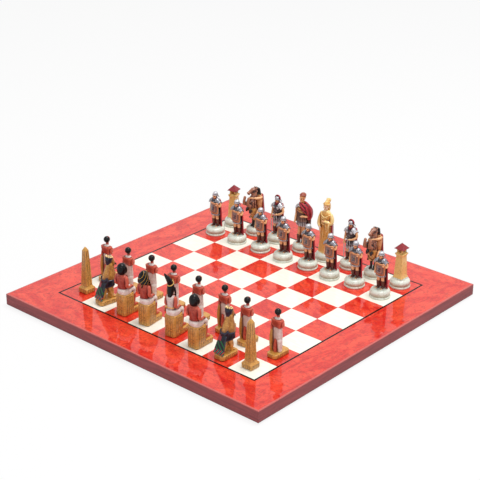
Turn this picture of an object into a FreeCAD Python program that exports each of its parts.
import FreeCAD, Part
import math
import os

# Chess set: a veneered board and 32 cast chessmen.
# The near army is a river kingdom's court on block seats and low plinths,
# the far army is a court and its soldiers on turned round bases.
# Millimetres, +Z up, origin at the middle of the board's underside.
# The near army looks along +Y and the far army along -Y.

# Board
board_side = 400.0
board_thickness = 16.0
square_share = 0.097
square_side = square_share * board_side
squares_per_side = 8
stringing_width = 1.5
veneer_thickness = 0.6
lipping_thickness = 2.0
top_arris = 0.5
bottom_arris = 1.0
felt_thickness = 1.0
felt_inset = 6.0

# Felt pad under every chessman
pad_thickness = 0.4
pad_inset = 1.1

# Turned base of the far army
base_flats = 16
base_foot_radius = 12.9
base_groove_radius = 11.6
base_groove_up = 3.0
base_bulge_radius = 12.4
base_bulge_up = 6.0
base_shoulder_radius = 9.8
base_height = 10.6
root_depth = 1.4

# Foot soldier, eight in the far army
soldier_leg_length = 17.0
soldier_tunic_length = 22.0
soldier_head_height = 9.8
soldier_shoulder_width = 14.6
soldier_depth = 8.2
soldier_head_width = 6.8
soldier_feet = ((3.0, 0.4), (-3.0, -0.8))
soldier_leg_width = 4.4
soldier_arm_width = 3.6
soldier_shield_width = 12.6
soldier_shield_height = 15.0
soldier_shield_thickness = 1.2
soldier_shield_bow = 2.0
soldier_shield_aside = -2.2
soldier_cape_width = 13.0

# Officer with a crest across the helmet
officer_leg_length = 15.8
officer_tunic_length = 28.2
officer_head_height = 10.0
officer_shoulder_width = 14.8
officer_depth = 8.4
officer_head_width = 6.6
officer_feet = ((3.2, 2.4), (-2.8, -0.6))
officer_leg_width = 4.4
officer_arm_width = 3.4
officer_crest_radius = 4.6
officer_crest_thickness = 1.8
officer_sword_width = 1.5
officer_cape_width = 13.4

# Bare-headed ruler in a cloak
ruler_leg_length = 24.2
ruler_tunic_length = 30.0
ruler_head_height = 14.4
ruler_shoulder_width = 17.0
ruler_depth = 9.6
ruler_head_width = 7.4
ruler_feet = ((3.4, 4.6), (-1.4, 1.6))
ruler_leg_width = 4.8
ruler_arm_width = 3.8
ruler_cloak_width = 16.6

# Lady in a long robe
lady_robe_height = 56.0
lady_head_height = 11.0
lady_bun_rise = 5.0
lady_robe_width = 18.8
lady_robe_depth = 12.0
lady_hem_width = 17.0
lady_head_width = 7.6
lady_sleeve_width = 4.8

# Rearing horse and its rider
horse_barrel_width = 10.4
horse_head_length = 13.0
horse_leg_width = 3.8
horse_height = 55.0
rider_width = 9.0
rider_arm_width = 3.2

# Square tower with a hipped roof
tower_foot_side = 13.6
tower_foot_height = 2.8
tower_shaft_foot_side = 11.6
tower_shaft_top_side = 9.9
tower_shaft_height = 28.4
tower_cornice_side = 11.6
tower_cornice_height = 1.8
tower_belfry_side = 9.4
tower_belfry_height = 6.4
tower_opening_width = 2.6
tower_opening_height = 3.8
tower_opening_depth = 0.8
tower_roof_side = 12.8
tower_eaves_thickness = 0.9
tower_roof_height = 7.2

# Obelisk
obelisk_base_side = 14.8
obelisk_base_height = 6.6
obelisk_shoulder_height = 2.6
obelisk_shaft_foot_side = 10.8
obelisk_shaft_top_side = 6.4
obelisk_shaft_height = 45.2
obelisk_point_height = 4.4
obelisk_point_flat = 1.4

# Falcon on a plinth
falcon_plinth_width = 15.4
falcon_plinth_length = 27.0
falcon_plinth_height = 6.0
falcon_height = 54.0
falcon_body_width = 14.0
falcon_body_depth = 16.6
falcon_crown_width = 9.6
falcon_wing_thickness = 3.6

# Low plinths and block seats
plinth_corner = 2.0
seat_width = 16.0
seat_depth = 18.2
seat_height = 26.6
footrest_length = 11.6
footrest_height = 7.0

# Seated figures, all from one body
lap_height = 6.6
lap_width = 14.6
seated_torso_height = 18.0
seated_shoulder_width = 15.0
seated_depth = 8.6
seated_arm_width = 3.8
seated_shin_width = 4.6
wig_width = 11.0
wig_height = 14.8
headcloth_width = 14.4
headcloth_height = 17.4
queen_shoulder_width = 11.6
queen_hair_width = 8.4
queen_hair_height = 15.0
queen_crown_height = 13.4
queen_crown_width = 7.2
queen_crown_lean = 10.0

# Standing guard, eight in the near army
guard_plinth_width = 14.6
guard_plinth_length = 25.0
guard_plinth_height = 5.6
guard_setback = 0.8
guard_kilt_height = 30.0
guard_kilt_width = 9.6
guard_torso_height = 10.0
guard_shoulder_width = 13.6
guard_depth = 7.6
guard_collar_width = 11.6
guard_collar_thickness = 1.3
guard_neck_height = 4.4
guard_neck_width = 3.2
guard_head_width = 7.4
guard_head_height = 8.0
guard_slab_thickness = 3.2
guard_slab_depth = 5.6
guard_slab_height = 22.0

# Where each chessman stands: millimetres off its square's middle, and its turn in degrees
standing = {
    "a1": ("egypt_rook", 2.5, 5.5, 0.0),
    "b1": ("egypt_knight", 2.2, 2.2, -8.0),
    "c1": ("egypt_bishop", 0.3, 3.0, 2.0),
    "d1": ("egypt_king", -3.0, 2.8, 8.0),
    "e1": ("egypt_queen", -0.5, 3.5, 7.0),
    "f1": ("egypt_bishop", -0.8, 1.2, 2.0),
    "g1": ("egypt_knight", 0.2, -0.2, 0.0),
    "h1": ("egypt_rook", -2.5, -0.5, 0.0),
    "a2": ("egypt_pawn", -3.1, 8.0, 0.0),
    "b2": ("egypt_pawn", 0.0, 3.2, 0.0),
    "c2": ("egypt_pawn", -2.8, 6.6, 0.0),
    "d2": ("egypt_pawn", -4.2, 5.4, 0.0),
    "e2": ("egypt_pawn", -1.2, 3.0, 0.0),
    "f2": ("egypt_pawn", -2.4, 6.0, 0.0),
    "g2": ("egypt_pawn", -2.7, 0.4, 0.0),
    "h2": ("egypt_pawn", 1.8, 1.6, 0.0),
    "a7": ("roman_pawn", -0.5, 4.1, 0.0),
    "b7": ("roman_pawn", 0.0, 2.5, 0.0),
    "c7": ("roman_pawn", 1.0, 3.0, 0.0),
    "d7": ("roman_pawn", 1.5, 1.0, 0.0),
    "e7": ("roman_pawn", 0.5, 4.0, 0.0),
    "f7": ("roman_pawn", -0.5, 0.0, 0.0),
    "g7": ("roman_pawn", -3.0, 3.0, 0.0),
    "h7": ("roman_pawn", -1.5, 0.0, 0.0),
    "a8": ("roman_rook", -1.0, 2.0, 14.0),
    "b8": ("roman_knight", 0.0, 0.5, 0.0),
    "c8": ("roman_bishop", -1.5, 0.5, 0.0),
    "d8": ("roman_king", 1.0, 1.0, 0.0),
    "e8": ("roman_queen", 1.5, -1.0, 0.0),
    "f8": ("roman_bishop", 0.0, 1.5, 0.0),
    "g8": ("roman_knight", -1.5, 1.0, 0.0),
    "h8": ("roman_rook", 0.0, 0.0, 0.0),
}


def vector(x, y, z):
    return FreeCAD.Vector(x, y, z)


def closed_wire(points):
    return Part.makePolygon(points + [points[0]])


def prism(points, rise):
    """Upright solid on a flat outline."""
    return Part.Face(closed_wire(points)).extrude(vector(0, 0, rise))


def joined(pieces):
    """One casting from pieces that run into each other."""
    return pieces[0].multiFuse(pieces[1:]).removeSplitter()


# Sections of a figure

def ring(up, wide, deep, ahead=0.0, aside=0.0, sides=8):
    """Level polygon, its flats at the front, the back and both sides."""
    reach = 0.5 / math.cos(math.pi / sides)
    corners = []
    for k in range(sides):
        angle = 2 * math.pi * (k + 0.5) / sides
        corners.append(vector(aside + wide * reach * math.cos(angle),
                              ahead + deep * reach * math.sin(angle), up))
    return closed_wire(corners)


def carved(foot, height, wide, deep, rows, ahead=0.0, aside=0.0, sides=6):
    """Loft of level rings. A row is a share of the height, the width and the depth,
    and how far the ring lies ahead, in depths."""
    wires = []
    for up, across, through, lead in rows:
        wires.append(ring(foot + up * height, across * wide, through * deep,
                          ahead + lead * deep, aside, sides))
    return Part.makeLoft(wires, True, True)


def limb(points, widths, sides=4):
    """An arm, a leg or a neck: rings square to the path, carried along it without a twist."""
    wires = []
    across = vector(1, 0, 0)
    for k, point in enumerate(points):
        before = points[max(k - 1, 0)]
        after = points[min(k + 1, len(points) - 1)]
        along = after.sub(before).normalize()
        across = across.sub(along * across.dot(along)).normalize()
        upright = along.cross(across)
        corners = []
        for step in range(sides):
            angle = 2 * math.pi * (step + 0.5) / sides
            reach = 0.5 * widths[k] / math.cos(math.pi / sides)
            corners.append(point + across * (reach * math.cos(angle))
                           + upright * (reach * math.sin(angle)))
        wires.append(closed_wire(corners))
    return Part.makeLoft(wires, True, True)


def cape(top, bottom, width, thickness, back, flare):
    """Cloth down a back: sections bowed round it that widen towards the hem."""
    wires = []
    for share in (0.0, 1.0):
        up = bottom + (top - bottom) * share
        half = 0.5 * width * (1.0 - 0.25 * share)
        rear = -back - flare * (1.0 - share)
        wires.append(closed_wire([
            vector(-half, rear + 2 * thickness, up), vector(-0.6 * half, rear, up),
            vector(0.6 * half, rear, up), vector(half, rear + 2 * thickness, up),
            vector(0, rear + 1.3 * thickness, up)]))
    return Part.makeLoft(wires, True, True)


# Far army

def turned_base():
    """Foot, groove, bulge and shoulder, each ring of flats ruled to the next."""
    profile = ((pad_thickness, base_foot_radius), (base_groove_up, base_groove_radius),
               (base_bulge_up, base_bulge_radius), (base_height, base_shoulder_radius))
    wires = [ring(up, 2 * radius, 2 * radius, sides=base_flats) for up, radius in profile]
    return Part.makeLoft(wires, True, True)


def round_pad():
    across = 2 * (base_foot_radius - pad_inset)
    return Part.Face(ring(0.0, across, across)).extrude(vector(0, 0, pad_thickness))


def legs(hem, feet, width):
    """Two legs, from inside the base to inside the skirt."""
    pieces = []
    for aside, ahead in feet:
        path = [vector(aside, ahead, base_height - root_depth),
                vector(0.84 * aside, 0.5 * ahead, hem + root_depth)]
        pieces.append(limb(path, [0.92 * width, 1.06 * width]))
    return pieces


def boots(feet, width):
    pieces = []
    for aside, ahead in feet:
        rows = [(0.0, 1.0, 1.6, 0.0), (1.0, 0.9, 0.9, -0.2)]
        pieces.append(carved(base_height - root_depth, root_depth + 0.6 * width, width, width, rows,
                             ahead + 0.5 * width, aside, 4))
    return pieces


def tunic(foot, length, wide, deep, sides=6):
    """Skirt, belt, chest and shoulders."""
    rows = [(0.0, 0.84, 1.1, 0.0), (0.38, 0.72, 0.9, 0.0), (0.86, 1.0, 0.96, 0.04), (1.04, 0.42, 0.5, 0.04)]
    return carved(foot, length, wide, deep, rows, sides=sides)


def head(chin, height, wide, ahead=0.0, aside=0.0):
    """Neck, brow and crown, the face looking ahead."""
    rows = [(-0.18, 0.6, 0.62, -0.02), (0.55, 1.0, 1.06, 0.02), (1.0, 0.46, 0.5, -0.04)]
    return carved(chin, height, wide, wide, rows, ahead, aside)


def bent(root, joint, tip, widths):
    """Two straight limbs that meet in a bend, each run a little past it."""
    first = joint.sub(root).normalize()
    second = tip.sub(joint).normalize()
    past = 0.4 * widths[1]
    return [limb([root, joint + first * past], widths[:2]),
            limb([joint - second * past, tip], widths[1:])]


def arm(shoulder, elbow, hand, width):
    return bent(shoulder, elbow, hand, [1.2 * width, width, 0.8 * width])


def soldier():
    hem = base_height + soldier_leg_length
    length = soldier_tunic_length
    shoulder = hem + length
    reach = 0.5 * soldier_shoulder_width
    pieces = [turned_base()] + legs(hem, soldier_feet, soldier_leg_width)
    pieces.append(tunic(hem, length, soldier_shoulder_width, soldier_depth))
    pieces.append(head(shoulder, soldier_head_height, soldier_head_width, 0.1 * soldier_depth))
    grip = 0.62 * soldier_depth
    pieces.append(limb([vector(0.84 * reach, 0, shoulder - 0.14 * length),
                        vector(0.94 * reach, 0.3 * soldier_depth, shoulder - 0.76 * length)],
                       [1.2 * soldier_arm_width, 0.8 * soldier_arm_width]))
    pieces.append(limb([vector(-0.84 * reach, 0, shoulder - 0.14 * length),
                        vector(-0.9 * reach, grip, shoulder - 0.4 * length)],
                       [1.2 * soldier_arm_width, soldier_arm_width]))
    pieces.append(soldier_shield(shoulder - 0.25 * length, grip))
    pieces.append(cape(shoulder - root_depth, base_height - 0.5 * root_depth, soldier_cape_width,
                       0.16 * soldier_depth, 0.42 * soldier_depth, 0.2 * soldier_depth))
    return joined(pieces)


def soldier_shield(top, ahead):
    """Oblong shield, bowed to the front, upright, held to one side."""
    radius = (0.25 * soldier_shield_width ** 2 + soldier_shield_bow ** 2) / (2 * soldier_shield_bow)
    spread = math.asin(0.5 * soldier_shield_width / radius)
    hub = ahead + soldier_shield_bow - radius
    outline = []
    for reach, order in ((radius, (-1.0, -0.4, 0.4, 1.0)),
                         (radius - soldier_shield_thickness, (1.0, -1.0))):
        for share in order:
            outline.append(vector(soldier_shield_aside + reach * math.sin(share * spread),
                                  hub + reach * math.cos(share * spread), top - soldier_shield_height))
    return prism(outline, soldier_shield_height)


def officer():
    hem = base_height + officer_leg_length
    length = officer_tunic_length
    shoulder = hem + length
    reach = 0.5 * officer_shoulder_width
    pieces = [turned_base()] + legs(hem, officer_feet, officer_leg_width)
    pieces.append(tunic(hem, length, officer_shoulder_width, officer_depth, 8))
    pieces.append(head(shoulder, officer_head_height, officer_head_width))
    # The crest is an arch of flats from ear to ear
    crest_up = shoulder + officer_head_height - 0.8 * officer_crest_radius
    arch = [vector(0, -0.6 * officer_crest_thickness, crest_up)]
    for step in range(6):
        angle = math.pi * (step / 5.0 * 1.2 - 0.1)
        arch.append(arch[0] + vector(officer_crest_radius * math.cos(angle), 0,
                                     officer_crest_radius * math.sin(angle)))
    pieces.append(Part.Face(closed_wire(arch)).extrude(vector(0, officer_crest_thickness, 0)))
    hand = vector(1.06 * reach, 0.35 * officer_depth, shoulder - 0.78 * length)
    pieces.append(limb([vector(0.86 * reach, 0, shoulder - 0.12 * length), hand],
                       [1.2 * officer_arm_width, 0.8 * officer_arm_width]))
    pieces += arm(vector(-0.76 * reach, 0, shoulder - 0.12 * length),
                  vector(-1.2 * reach, 0, shoulder - 0.45 * length),
                  vector(-0.2 * reach, 0.62 * officer_depth, shoulder - 0.54 * length),
                  officer_arm_width)
    pieces.append(limb([vector(hand.x, hand.y, base_height - root_depth), hand],
                       [0.7 * officer_sword_width, officer_sword_width]))
    pieces.append(cape(shoulder - root_depth, base_height - 0.5 * root_depth, officer_cape_width,
                       0.16 * officer_depth, 0.42 * officer_depth, 0.2 * officer_depth))
    return joined(pieces)


def ruler():
    hem = base_height + ruler_leg_length
    length = ruler_tunic_length
    shoulder = hem + length
    reach = 0.5 * ruler_shoulder_width
    pieces = [turned_base()] + legs(hem, ruler_feet, ruler_leg_width)
    pieces += boots(ruler_feet, ruler_leg_width)
    pieces.append(tunic(hem, length, ruler_shoulder_width, ruler_depth, 8))
    pieces.append(head(shoulder, ruler_head_height, ruler_head_width, 0.12 * ruler_depth))
    pieces.append(limb([vector(0.94 * reach, 0.05 * ruler_depth, shoulder - 0.12 * length),
                        vector(1.08 * reach, 0.45 * ruler_depth, shoulder - 0.8 * length)],
                       [1.2 * ruler_arm_width, 0.8 * ruler_arm_width]))
    pieces += arm(vector(-0.8 * reach, 0, shoulder - 0.12 * length),
                  vector(-1.3 * reach, 0, shoulder - 0.5 * length),
                  vector(-0.15 * reach, 0.66 * ruler_depth, shoulder - 0.54 * length), ruler_arm_width)
    # The cloak falls down the back and lies over one shoulder and arm
    pieces.append(cape(shoulder - root_depth, base_height + 0.4 * ruler_leg_length, ruler_cloak_width,
                       0.16 * ruler_depth, 0.44 * ruler_depth, 0.2 * ruler_depth))
    throw_rows = [(0.0, 0.6, 0.7, 0.0), (0.3, 1.0, 1.0, 0.0), (0.8, 0.84, 1.0, 0.05), (1.0, 0.4, 0.6, 0.1)]
    pieces.append(carved(shoulder - 0.56 * length, 0.62 * length, 0.62 * ruler_shoulder_width,
                         1.1 * ruler_depth, throw_rows, 0.0, -0.86 * reach))
    return joined(pieces)


def lady():
    shoulder = base_height + lady_robe_height
    hem_share = lady_hem_width / lady_robe_width
    rows = [(0.0, hem_share, 1.16, 0.0), (0.5, 0.94, 1.0, 0.0), (0.82, 0.98, 0.94, 0.0),
            (0.95, 0.78, 0.7, 0.0), (1.02, 0.36, 0.42, 0.0)]
    robe = carved(base_height - root_depth, lady_robe_height + root_depth, lady_robe_width,
                  lady_robe_depth, rows, sides=8)
    pieces = [turned_base(), robe]
    pieces.append(head(shoulder, lady_head_height, lady_head_width))
    bun_rows = [(0.0, 0.5, 0.5, 0.0), (0.45, 0.86, 0.9, -0.06), (1.0, 0.5, 0.54, -0.14)]
    bun_foot = shoulder + 0.55 * lady_head_height
    pieces.append(carved(bun_foot, 0.45 * lady_head_height + lady_bun_rise, 0.8 * lady_head_width,
                         0.9 * lady_head_width, bun_rows, -0.3 * lady_head_width))
    reach = 0.5 * lady_robe_width
    pieces += arm(vector(0.82 * reach, 0, shoulder - 0.14 * lady_robe_height),
                  vector(1.02 * reach, 0.15 * lady_robe_depth, shoulder - 0.38 * lady_robe_height),
                  vector(0.3 * reach, 0.56 * lady_robe_depth, shoulder - 0.5 * lady_robe_height),
                  lady_sleeve_width)
    pieces += arm(vector(-0.82 * reach, 0, shoulder - 0.14 * lady_robe_height),
                  vector(-1.02 * reach, 0.15 * lady_robe_depth, shoulder - 0.34 * lady_robe_height),
                  vector(0.1 * reach, 0.58 * lady_robe_depth, shoulder - 0.31 * lady_robe_height),
                  lady_sleeve_width)
    return joined(pieces)


def horse():
    """Horse on its hind legs, the rider close behind its neck."""
    w = horse_barrel_width
    tall = horse_height
    spine = [vector(0, -0.5 * w, base_height + 0.26 * tall),
             vector(0, 0.1 * w, base_height + 0.4 * tall),
             vector(0, 0.4 * w, base_height + 0.58 * tall), vector(0, 0.1 * w, base_height + 0.78 * tall),
             vector(0, -0.22 * w, base_height + 0.95 * tall)]
    girths = [0.5 * w, w, 1.06 * w, 0.8 * w, 0.5 * w]
    pieces = [turned_base(), limb(spine, girths, 6)]
    chest = spine[2]
    poll = vector(0, -0.36 * w, base_height + 0.97 * tall)
    brow = poll + vector(0, 0.3 * horse_head_length, 0)
    muzzle = poll + vector(0, 0.9 * horse_head_length, -0.44 * horse_head_length)
    pieces.append(limb([poll, brow, muzzle], [0.5 * w, 0.62 * w, 0.34 * w]))
    leg = horse_leg_width
    for side in (-1, 1):
        pieces.append(limb([vector(side * 0.28 * w, 0.1 * w, base_height + 0.36 * tall),
                            vector(side * 0.3 * w, -0.04 * w, base_height + 0.18 * tall),
                            vector(side * 0.26 * w, 0.3 * w, base_height - root_depth)],
                           [1.7 * leg, leg, 1.1 * leg]))
    raised = [chest + vector(0.3 * w, 0.1 * w, 0), chest + vector(0.4 * w, 0.95 * w, 0.6 * w),
              chest + vector(0.4 * w, 0.62 * w, -0.5 * w)]
    tucked = [chest + vector(-0.3 * w, 0.1 * w, -0.2 * w), chest + vector(-0.32 * w, 0.8 * w, -0.3 * w),
              chest + vector(-0.3 * w, 0.5 * w, -1.0 * w)]
    for path in (raised, tucked):
        pieces += bent(path[0], path[1], path[2], [1.2 * leg, leg, 0.9 * leg])
    pieces.append(limb([spine[0] + vector(0, 0.1 * w, 0), vector(0, -0.7 * w, base_height - root_depth)],
                       [leg, 0.9 * leg]))
    # The rider sits behind the neck, one arm round it, a cloak down the back
    seat_up = base_height + 0.4 * tall
    rider_rows = [(0.0, 0.9, 0.9, 0.1), (0.8, 1.0, 0.8, 0.0), (1.0, 0.5, 0.5, 0.0)]
    pieces.append(carved(seat_up, 0.4 * tall, rider_width, 0.8 * rider_width, rider_rows, -0.55 * w))
    pieces.append(head(seat_up + 0.4 * tall, 0.16 * tall, 0.62 * rider_width, -0.62 * w, 0.1 * w))
    for side in (-1, 1):
        pieces.append(limb([vector(side * 0.5 * rider_width, -0.5 * w, seat_up + 0.32 * tall),
                            vector(side * 0.52 * w, 0.5 * w, seat_up + 0.3 * tall)],
                           [1.2 * rider_arm_width, rider_arm_width]))
        pieces.append(limb([vector(side * 0.5 * w, -0.2 * w, seat_up + 0.06 * tall),
                            vector(side * 0.6 * w, 0.4 * w, seat_up - 0.14 * tall)],
                           [1.5 * rider_arm_width, 1.2 * rider_arm_width]))
    cloak = cape(seat_up + 0.38 * tall, seat_up - 0.06 * tall, 1.2 * rider_width, 0.16 * rider_width,
                 0.3 * rider_width, 0.16 * rider_width)
    pieces.append(cloak.translated(vector(0, -0.55 * w, 0)))
    return joined(pieces)


def square_loft(levels):
    """Loft of level squares, each a height and a side."""
    wires = []
    for up, side in levels:
        half = 0.5 * side
        wires.append(closed_wire([vector(-half, -half, up), vector(half, -half, up),
                                  vector(half, half, up), vector(-half, half, up)]))
    return Part.makeLoft(wires, True, True)


def tower():
    foot = base_height - root_depth
    plinth_top = foot + root_depth + tower_foot_height
    shaft_top = plinth_top + tower_shaft_height
    cornice_top = shaft_top + tower_cornice_height
    eaves = cornice_top + tower_belfry_height
    pieces = [turned_base()]
    pieces.append(square_loft([(foot, tower_foot_side),
                               (plinth_top - 0.4 * tower_foot_height, tower_foot_side),
                               (plinth_top, tower_shaft_foot_side), (shaft_top, tower_shaft_top_side),
                               (shaft_top + 0.4 * tower_cornice_height, tower_cornice_side),
                               (cornice_top, tower_cornice_side)]))
    pieces.append(square_loft([(shaft_top, tower_belfry_side), (eaves, tower_belfry_side)]))
    pieces.append(square_loft([(eaves - 0.5 * tower_eaves_thickness, tower_roof_side),
                               (eaves + 0.5 * tower_eaves_thickness, tower_roof_side),
                               (eaves + tower_roof_height, 0.05 * tower_roof_side)]))
    body = joined(pieces)
    # Arched openings in the four sides of the belfry
    half = 0.5 * tower_opening_width
    sill = cornice_top + 0.2 * (tower_belfry_height - tower_opening_height)
    spring = sill + tower_opening_height - half
    outline = [vector(-half, 0, sill), vector(half, 0, sill), vector(half, 0, spring),
               vector(0, 0, spring + half), vector(-half, 0, spring)]
    recess = Part.Face(closed_wire(outline)).extrude(vector(0, 2 * tower_opening_depth, 0))
    recess.translate(vector(0, 0.5 * tower_belfry_side - tower_opening_depth, 0))
    for quarter in range(4):
        body = body.cut(recess.rotated(vector(0, 0, 0), vector(0, 0, 1), 90 * quarter))
    return body


# Near army

def plinth(width, length, height):
    """Block with its upright corners cut off, centred, on its pad."""
    half = 0.5 * width
    reach = 0.5 * length
    corners = []
    for x, y in ((1, 1), (-1, 1), (-1, -1), (1, -1)):
        along_x = vector(x * (half - plinth_corner), y * reach, pad_thickness)
        along_y = vector(x * half, y * (reach - plinth_corner), pad_thickness)
        corners += [along_y, along_x] if x * y > 0 else [along_x, along_y]
    return prism(corners, height - pad_thickness)


def square_pad(width, length):
    wide = width - 2 * pad_inset
    long = length - 2 * pad_inset
    return Part.makeBox(wide, long, pad_thickness, vector(-0.5 * wide, -0.5 * long, 0))


def obelisk():
    shoulder = obelisk_base_height + obelisk_shoulder_height
    top = shoulder + obelisk_shaft_height
    block = plinth(obelisk_base_side, obelisk_base_side, obelisk_base_height)
    inner = 0.86 * obelisk_base_side
    shaft = square_loft([(obelisk_base_height - root_depth, inner), (obelisk_base_height, inner),
                         (shoulder, obelisk_shaft_foot_side), (top, obelisk_shaft_top_side),
                         (top + obelisk_point_height, obelisk_point_flat)])
    return joined([block, shaft])


def falcon():
    deck = falcon_plinth_height
    tall = falcon_height
    deep = falcon_body_depth
    body_rows = [(0.0, 0.6, 0.4, 0.05), (0.24, 0.8, 0.7, 0.05), (0.5, 1.0, 1.0, 0.2),
                 (0.66, 0.84, 0.8, 0.3), (0.8, 0.6, 0.6, 0.36)]
    pieces = [plinth(falcon_plinth_width, falcon_plinth_length, deck)]
    pieces.append(carved(deck - root_depth, tall, falcon_body_width, deep, body_rows, sides=8))
    # Headcloth and the flat crown on it
    crown_rows = [(0.0, 0.8, 0.8, 0.0), (0.55, 0.86, 0.9, -0.14), (1.0, 1.0, 1.06, -0.2)]
    nape = deck + 0.76 * tall
    lead = 0.39 * deep
    pieces.append(carved(nape, 0.24 * tall, falcon_crown_width, falcon_crown_width, crown_rows, lead,
                         sides=8))
    brow = vector(0, lead, deck + 0.74 * tall)
    beak = [brow, brow + vector(0, 0.29 * deep, 0), brow + vector(0, 0.52 * deep, -0.04 * tall)]
    pieces.append(limb(beak, [share * falcon_crown_width for share in (0.6, 0.6, 0.14)]))
    # Folded wings and tail, a slab that slants down to the back of the plinth
    tail = 0.5 * falcon_wing_thickness - 0.5 * falcon_plinth_length
    wires = []
    for share, across, through in ((-0.02, 0.9, 1.0), (0.56, 0.96, 1.3), (0.7, 0.8, 1.0)):
        wires.append(ring(deck + 0.8 * share * tall, across * falcon_body_width,
                          through * falcon_wing_thickness, tail + 0.78 * deep * share, 0.0, 6))
    pieces.append(Part.makeLoft(wires, True, True))
    return joined(pieces)


def seat():
    """Block seat with a footrest in front, centred on its whole length."""
    whole = seat_depth + footrest_length
    block = plinth(seat_width, seat_depth, seat_height)
    block.translate(vector(0, 0.5 * (seat_depth - whole), 0))
    rest = plinth(seat_width, whole, footrest_height)
    return [block, rest]


def seated(torso_width, head_pieces):
    """Figure on the block seat: lap, shins, torso and arms."""
    back = -0.5 * (seat_depth + footrest_length)
    hip = back + 0.45 * seat_depth
    lap_top = seat_height + lap_height
    shoulder = lap_top + seated_torso_height
    pieces = seat()
    lap_rows = [(0.0, 1.0, 1.0, 0.0), (0.7, 0.98, 0.98, 0.0), (1.0, 0.8, 0.86, -0.03)]
    pieces.append(carved(seat_height - root_depth, lap_height + root_depth, lap_width, 0.92 * seat_depth,
                         lap_rows, hip + 0.08 * seat_depth))
    torso_rows = [(0.0, 0.78, 0.94, 0.0), (0.85, 1.0, 0.96, 0.0), (1.04, 0.4, 0.46, 0.0)]
    pieces.append(carved(lap_top - root_depth, seated_torso_height + root_depth, torso_width, seated_depth,
                         torso_rows, hip - 0.02 * seat_depth))
    reach = 0.5 * torso_width
    front = back + seat_depth
    for side in (-1, 1):
        pieces += arm(vector(side * 0.82 * reach, hip, shoulder - 0.16 * seated_torso_height),
                      vector(side * 1.1 * reach, hip - 0.1 * seated_depth,
                             shoulder - 0.74 * seated_torso_height),
                      vector(side * 0.6 * reach, hip + 0.95 * seated_depth,
                             lap_top + 0.2 * seated_arm_width), seated_arm_width)
        aside = side * 0.25 * lap_width
        shin = [vector(aside, front, seat_height + 0.5 * lap_height),
                vector(aside, front + 0.4 * seated_shin_width, footrest_height - root_depth)]
        pieces.append(limb(shin, [1.1 * seated_shin_width, 0.9 * seated_shin_width]))
    return joined(pieces + head_pieces(hip, shoulder))


def wigged_head(hip, shoulder):
    rows = [(0.0, 0.62, 0.62, 0.0), (0.3, 1.0, 1.0, 0.0), (0.66, 0.98, 0.98, 0.0), (1.0, 0.36, 0.36, 0.0)]
    wig = carved(shoulder - 0.06 * wig_height, wig_height, wig_width, wig_width, rows, hip, sides=8)
    face = head(shoulder, 0.62 * wig_height, 0.7 * wig_width, hip + 0.24 * wig_width)
    return [face, wig]


def king_head(hip, shoulder):
    rows = [(0.0, 0.96, 0.54, -0.04), (0.3, 1.0, 0.66, -0.02), (0.7, 0.84, 0.7, 0.0),
            (1.0, 0.32, 0.34, 0.0)]
    cloth = carved(shoulder - 0.06 * headcloth_height, headcloth_height, headcloth_width, headcloth_width,
                   rows, hip, sides=8)
    face = head(shoulder, 0.72 * headcloth_height, 0.52 * headcloth_width, hip + 0.18 * headcloth_width)
    return [face, cloth]


def queen_head(hip, shoulder):
    rows = [(-0.12, 0.94, 0.6, -0.2), (0.4, 1.0, 0.9, 0.0), (0.8, 0.98, 1.0, 0.0), (1.0, 0.7, 0.7, 0.0)]
    hair = carved(shoulder, queen_hair_height, queen_hair_width, queen_hair_width, rows, hip, sides=8)
    face = head(shoulder, 0.84 * queen_hair_height, 0.8 * queen_hair_width, hip + 0.22 * queen_hair_width)
    band = shoulder + 0.8 * queen_hair_height
    crown = limb([vector(0, hip, band),
                  vector(0, hip - 0.35 * queen_crown_lean, band + 0.5 * queen_crown_height),
                  vector(0, hip - queen_crown_lean, band + queen_crown_height + 0.2 * queen_hair_height)],
                 [1.1 * queen_crown_width, 0.9 * queen_crown_width, 0.26 * queen_crown_width], 8)
    return [face, hair, crown]


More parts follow.
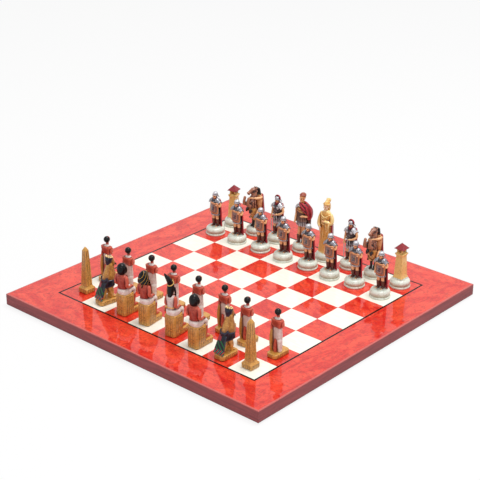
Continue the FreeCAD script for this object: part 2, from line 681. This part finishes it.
def guard():
    deck = guard_plinth_height
    waist = deck + guard_kilt_height
    shoulder = waist + guard_torso_height
    stand = -guard_setback
    pieces = [plinth(guard_plinth_width, guard_plinth_length, deck)]
    kilt_rows = [(0.0, 0.7, 0.9, 0.1), (0.75, 1.0, 0.92, 0.0), (1.02, 0.9, 0.84, 0.0)]
    pieces.append(carved(deck - root_depth, guard_kilt_height + root_depth, guard_kilt_width, guard_depth,
                         kilt_rows, stand))
    torso_rows = [(0.0, 0.92, 1.0, 0.0), (0.9, 1.0, 0.96, 0.0), (1.0, 0.7, 0.7, 0.0)]
    pieces.append(carved(waist, guard_torso_height, guard_shoulder_width, guard_depth, torso_rows, stand))
    collar_rows = [(0.0, 1.0, 1.0, 0.0), (1.0, 0.6, 0.6, 0.0)]
    collar_foot = shoulder - 0.6 * guard_collar_thickness
    pieces.append(carved(collar_foot, 2 * guard_collar_thickness, guard_collar_width, guard_collar_width,
                         collar_rows, stand))
    # Neck and head are one loft from inside the collar to the crown
    rise = guard_neck_height + guard_head_height
    neck_share = guard_neck_width / guard_head_width
    chin_share = guard_neck_height / rise
    ball_share = 1.0 - chin_share
    head_rows = [(0.0, neck_share, neck_share, 0.0), (chin_share, neck_share, neck_share, 0.0),
                 (chin_share + 0.34 * ball_share, 1.0, 1.0, 0.0),
                 (chin_share + 0.7 * ball_share, 0.94, 0.94, 0.0), (1.0, 0.4, 0.4, 0.0)]
    pieces.append(carved(shoulder, rise, guard_head_width, guard_head_width, head_rows, stand))
    reach = 0.5 * guard_shoulder_width
    arm_width = 0.26 * guard_shoulder_width
    pieces += arm(vector(0.8 * reach, stand, shoulder - 0.2 * guard_torso_height),
                  vector(1.06 * reach, stand + 0.1 * guard_depth, waist - 0.05 * guard_torso_height),
                  vector(0.3 * reach, stand + 0.62 * guard_depth, waist + 0.3 * guard_torso_height),
                  arm_width)
    slab_top = deck + guard_slab_height
    pieces.append(limb([vector(-0.84 * reach, stand, shoulder - 0.2 * guard_torso_height),
                        vector(-0.8 * reach, stand, slab_top - 0.1 * guard_slab_height)],
                       [1.1 * arm_width, 0.8 * arm_width]))
    slab_rows = [(0.0, 1.0, 0.9, 0.0), (1.0, 0.8, 0.7, 0.0)]
    pieces.append(carved(deck - root_depth, guard_slab_height + root_depth, guard_slab_thickness,
                         guard_slab_depth, slab_rows, stand, -reach + 0.5 * guard_slab_thickness, 4))
    shin = vector(0.24 * guard_kilt_width, stand - 0.34 * guard_depth, deck - root_depth)
    pieces.append(limb([shin, shin + vector(0, 0.06 * guard_depth, 0.45 * guard_kilt_height)],
                       [0.38 * guard_kilt_width, 0.42 * guard_kilt_width]))
    return joined(pieces)


# Board, from the inside outwards

def mitred_strips(outer, inner, foot, height):
    """Front, right, back and left strips of a square frame with mitred corners."""
    front = [vector(-outer, -outer, foot), vector(outer, -outer, foot),
             vector(inner, -inner, foot), vector(-inner, -inner, foot)]
    strip = prism(front, height)
    return [strip.rotated(vector(0, 0, 0), vector(0, 0, 1), 90 * quarter) for quarter in range(4)]


def board_nodes():
    half = 0.5 * board_side
    field = 0.5 * squares_per_side * square_side
    core_half = half - lipping_thickness
    veneer_foot = board_thickness - veneer_thickness
    nodes = {}
    nodes["board_core"] = Part.makeBox(2 * core_half, 2 * core_half, veneer_foot - felt_thickness,
                                       vector(-core_half, -core_half, felt_thickness))
    sheet_half = core_half - felt_inset
    nodes["base_felt"] = Part.makeBox(2 * sheet_half, 2 * sheet_half, felt_thickness,
                                      vector(-sheet_half, -sheet_half, 0))
    names = ("front", "right", "back", "left")
    # Each lipping is a rail with outer arrises taken off, cut to the mitre
    rail = Part.makeBox(board_side, lipping_thickness, board_thickness - felt_thickness,
                        vector(-half, -half, felt_thickness))
    arrises = []
    for edge in rail.Edges:
        ends = edge.Vertexes
        along = abs(ends[0].X - ends[-1].X) > lipping_thickness
        if along and abs(ends[0].Y + half) < 0.01:
            arrises.append(edge)
    top = [edge for edge in arrises if edge.Vertexes[0].Z > 0.5 * board_thickness]
    bottom = [edge for edge in arrises if edge.Vertexes[0].Z < 0.5 * board_thickness]
    rail = rail.makeChamfer(top_arris, top).makeChamfer(bottom_arris, bottom)
    mitres = mitred_strips(half, core_half, felt_thickness, board_thickness - felt_thickness)
    for quarter, name in enumerate(names):
        turned = rail.rotated(vector(0, 0, 0), vector(0, 0, 1), 90 * quarter)
        nodes["edge_lipping_" + name] = turned.common(mitres[quarter])
    inner = field + 0.5 * stringing_width
    borders = mitred_strips(core_half, inner, veneer_foot, veneer_thickness)
    for quarter, name in enumerate(names):
        nodes["border_veneer_" + name] = borders[quarter]
    trim = field - 0.5 * stringing_width
    nodes["stringing"] = Part.makeCompound(mitred_strips(inner, trim, veneer_foot, veneer_thickness))
    squares = {0: [], 1: []}
    for column in range(squares_per_side):
        for row in range(squares_per_side):
            left = max(column * square_side - field, -trim)
            right = min((column + 1) * square_side - field, trim)
            near = max(row * square_side - field, -trim)
            far = min((row + 1) * square_side - field, trim)
            tile = Part.makeBox(right - left, far - near, veneer_thickness, vector(left, near, veneer_foot))
            squares[(column + row) % 2].append(tile)
    nodes["red_squares"] = Part.makeCompound(squares[0])
    nodes["light_squares"] = Part.makeCompound(squares[1])
    return nodes


def chessmen():
    """Each kind of chessman once: its casting and its pad, standing at the origin."""
    seat_pad = square_pad(seat_width, seat_depth + footrest_length)
    return {
        "egypt_rook": (obelisk(), square_pad(obelisk_base_side, obelisk_base_side)),
        "egypt_knight": (falcon(), square_pad(falcon_plinth_width, falcon_plinth_length)),
        "egypt_bishop": (seated(seated_shoulder_width, wigged_head), seat_pad),
        "egypt_king": (seated(seated_shoulder_width, king_head), seat_pad),
        "egypt_queen": (seated(queen_shoulder_width, queen_head), seat_pad),
        "egypt_pawn": (guard(), square_pad(guard_plinth_width, guard_plinth_length)),
        "roman_rook": (tower(), round_pad()),
        "roman_knight": (horse(), round_pad()),
        "roman_bishop": (officer(), round_pad()),
        "roman_king": (ruler(), round_pad()),
        "roman_queen": (lady(), round_pad()),
        "roman_pawn": (soldier(), round_pad()),
    }


def chessmen_nodes():
    kinds = chessmen()
    nodes = {}
    for square, (kind, aside, ahead, turn) in standing.items():
        column = "abcdefgh".index(square[0]) - 0.5 * (squares_per_side - 1)
        row = int(square[1]) - 0.5 * (squares_per_side + 1)
        facing = 180.0 if kind.startswith("roman") else 0.0
        place = FreeCAD.Placement(
            vector(column * square_side + aside, row * square_side + ahead, board_thickness),
            FreeCAD.Rotation(vector(0, 0, 1), facing + turn))
        solids = []
        for piece in kinds[kind]:
            copy = piece.copy()
            copy.Placement = place.multiply(copy.Placement)
            solids.extend(copy.Solids)
        nodes[kind + "_" + square] = Part.makeCompound(solids)
    return nodes


os.makedirs("parts", exist_ok=True)
nodes = board_nodes()
nodes.update(chessmen_nodes())
for name, shape in nodes.items():
    shape.exportStep("parts/" + name + ".step")
print(len(nodes), "nodes")
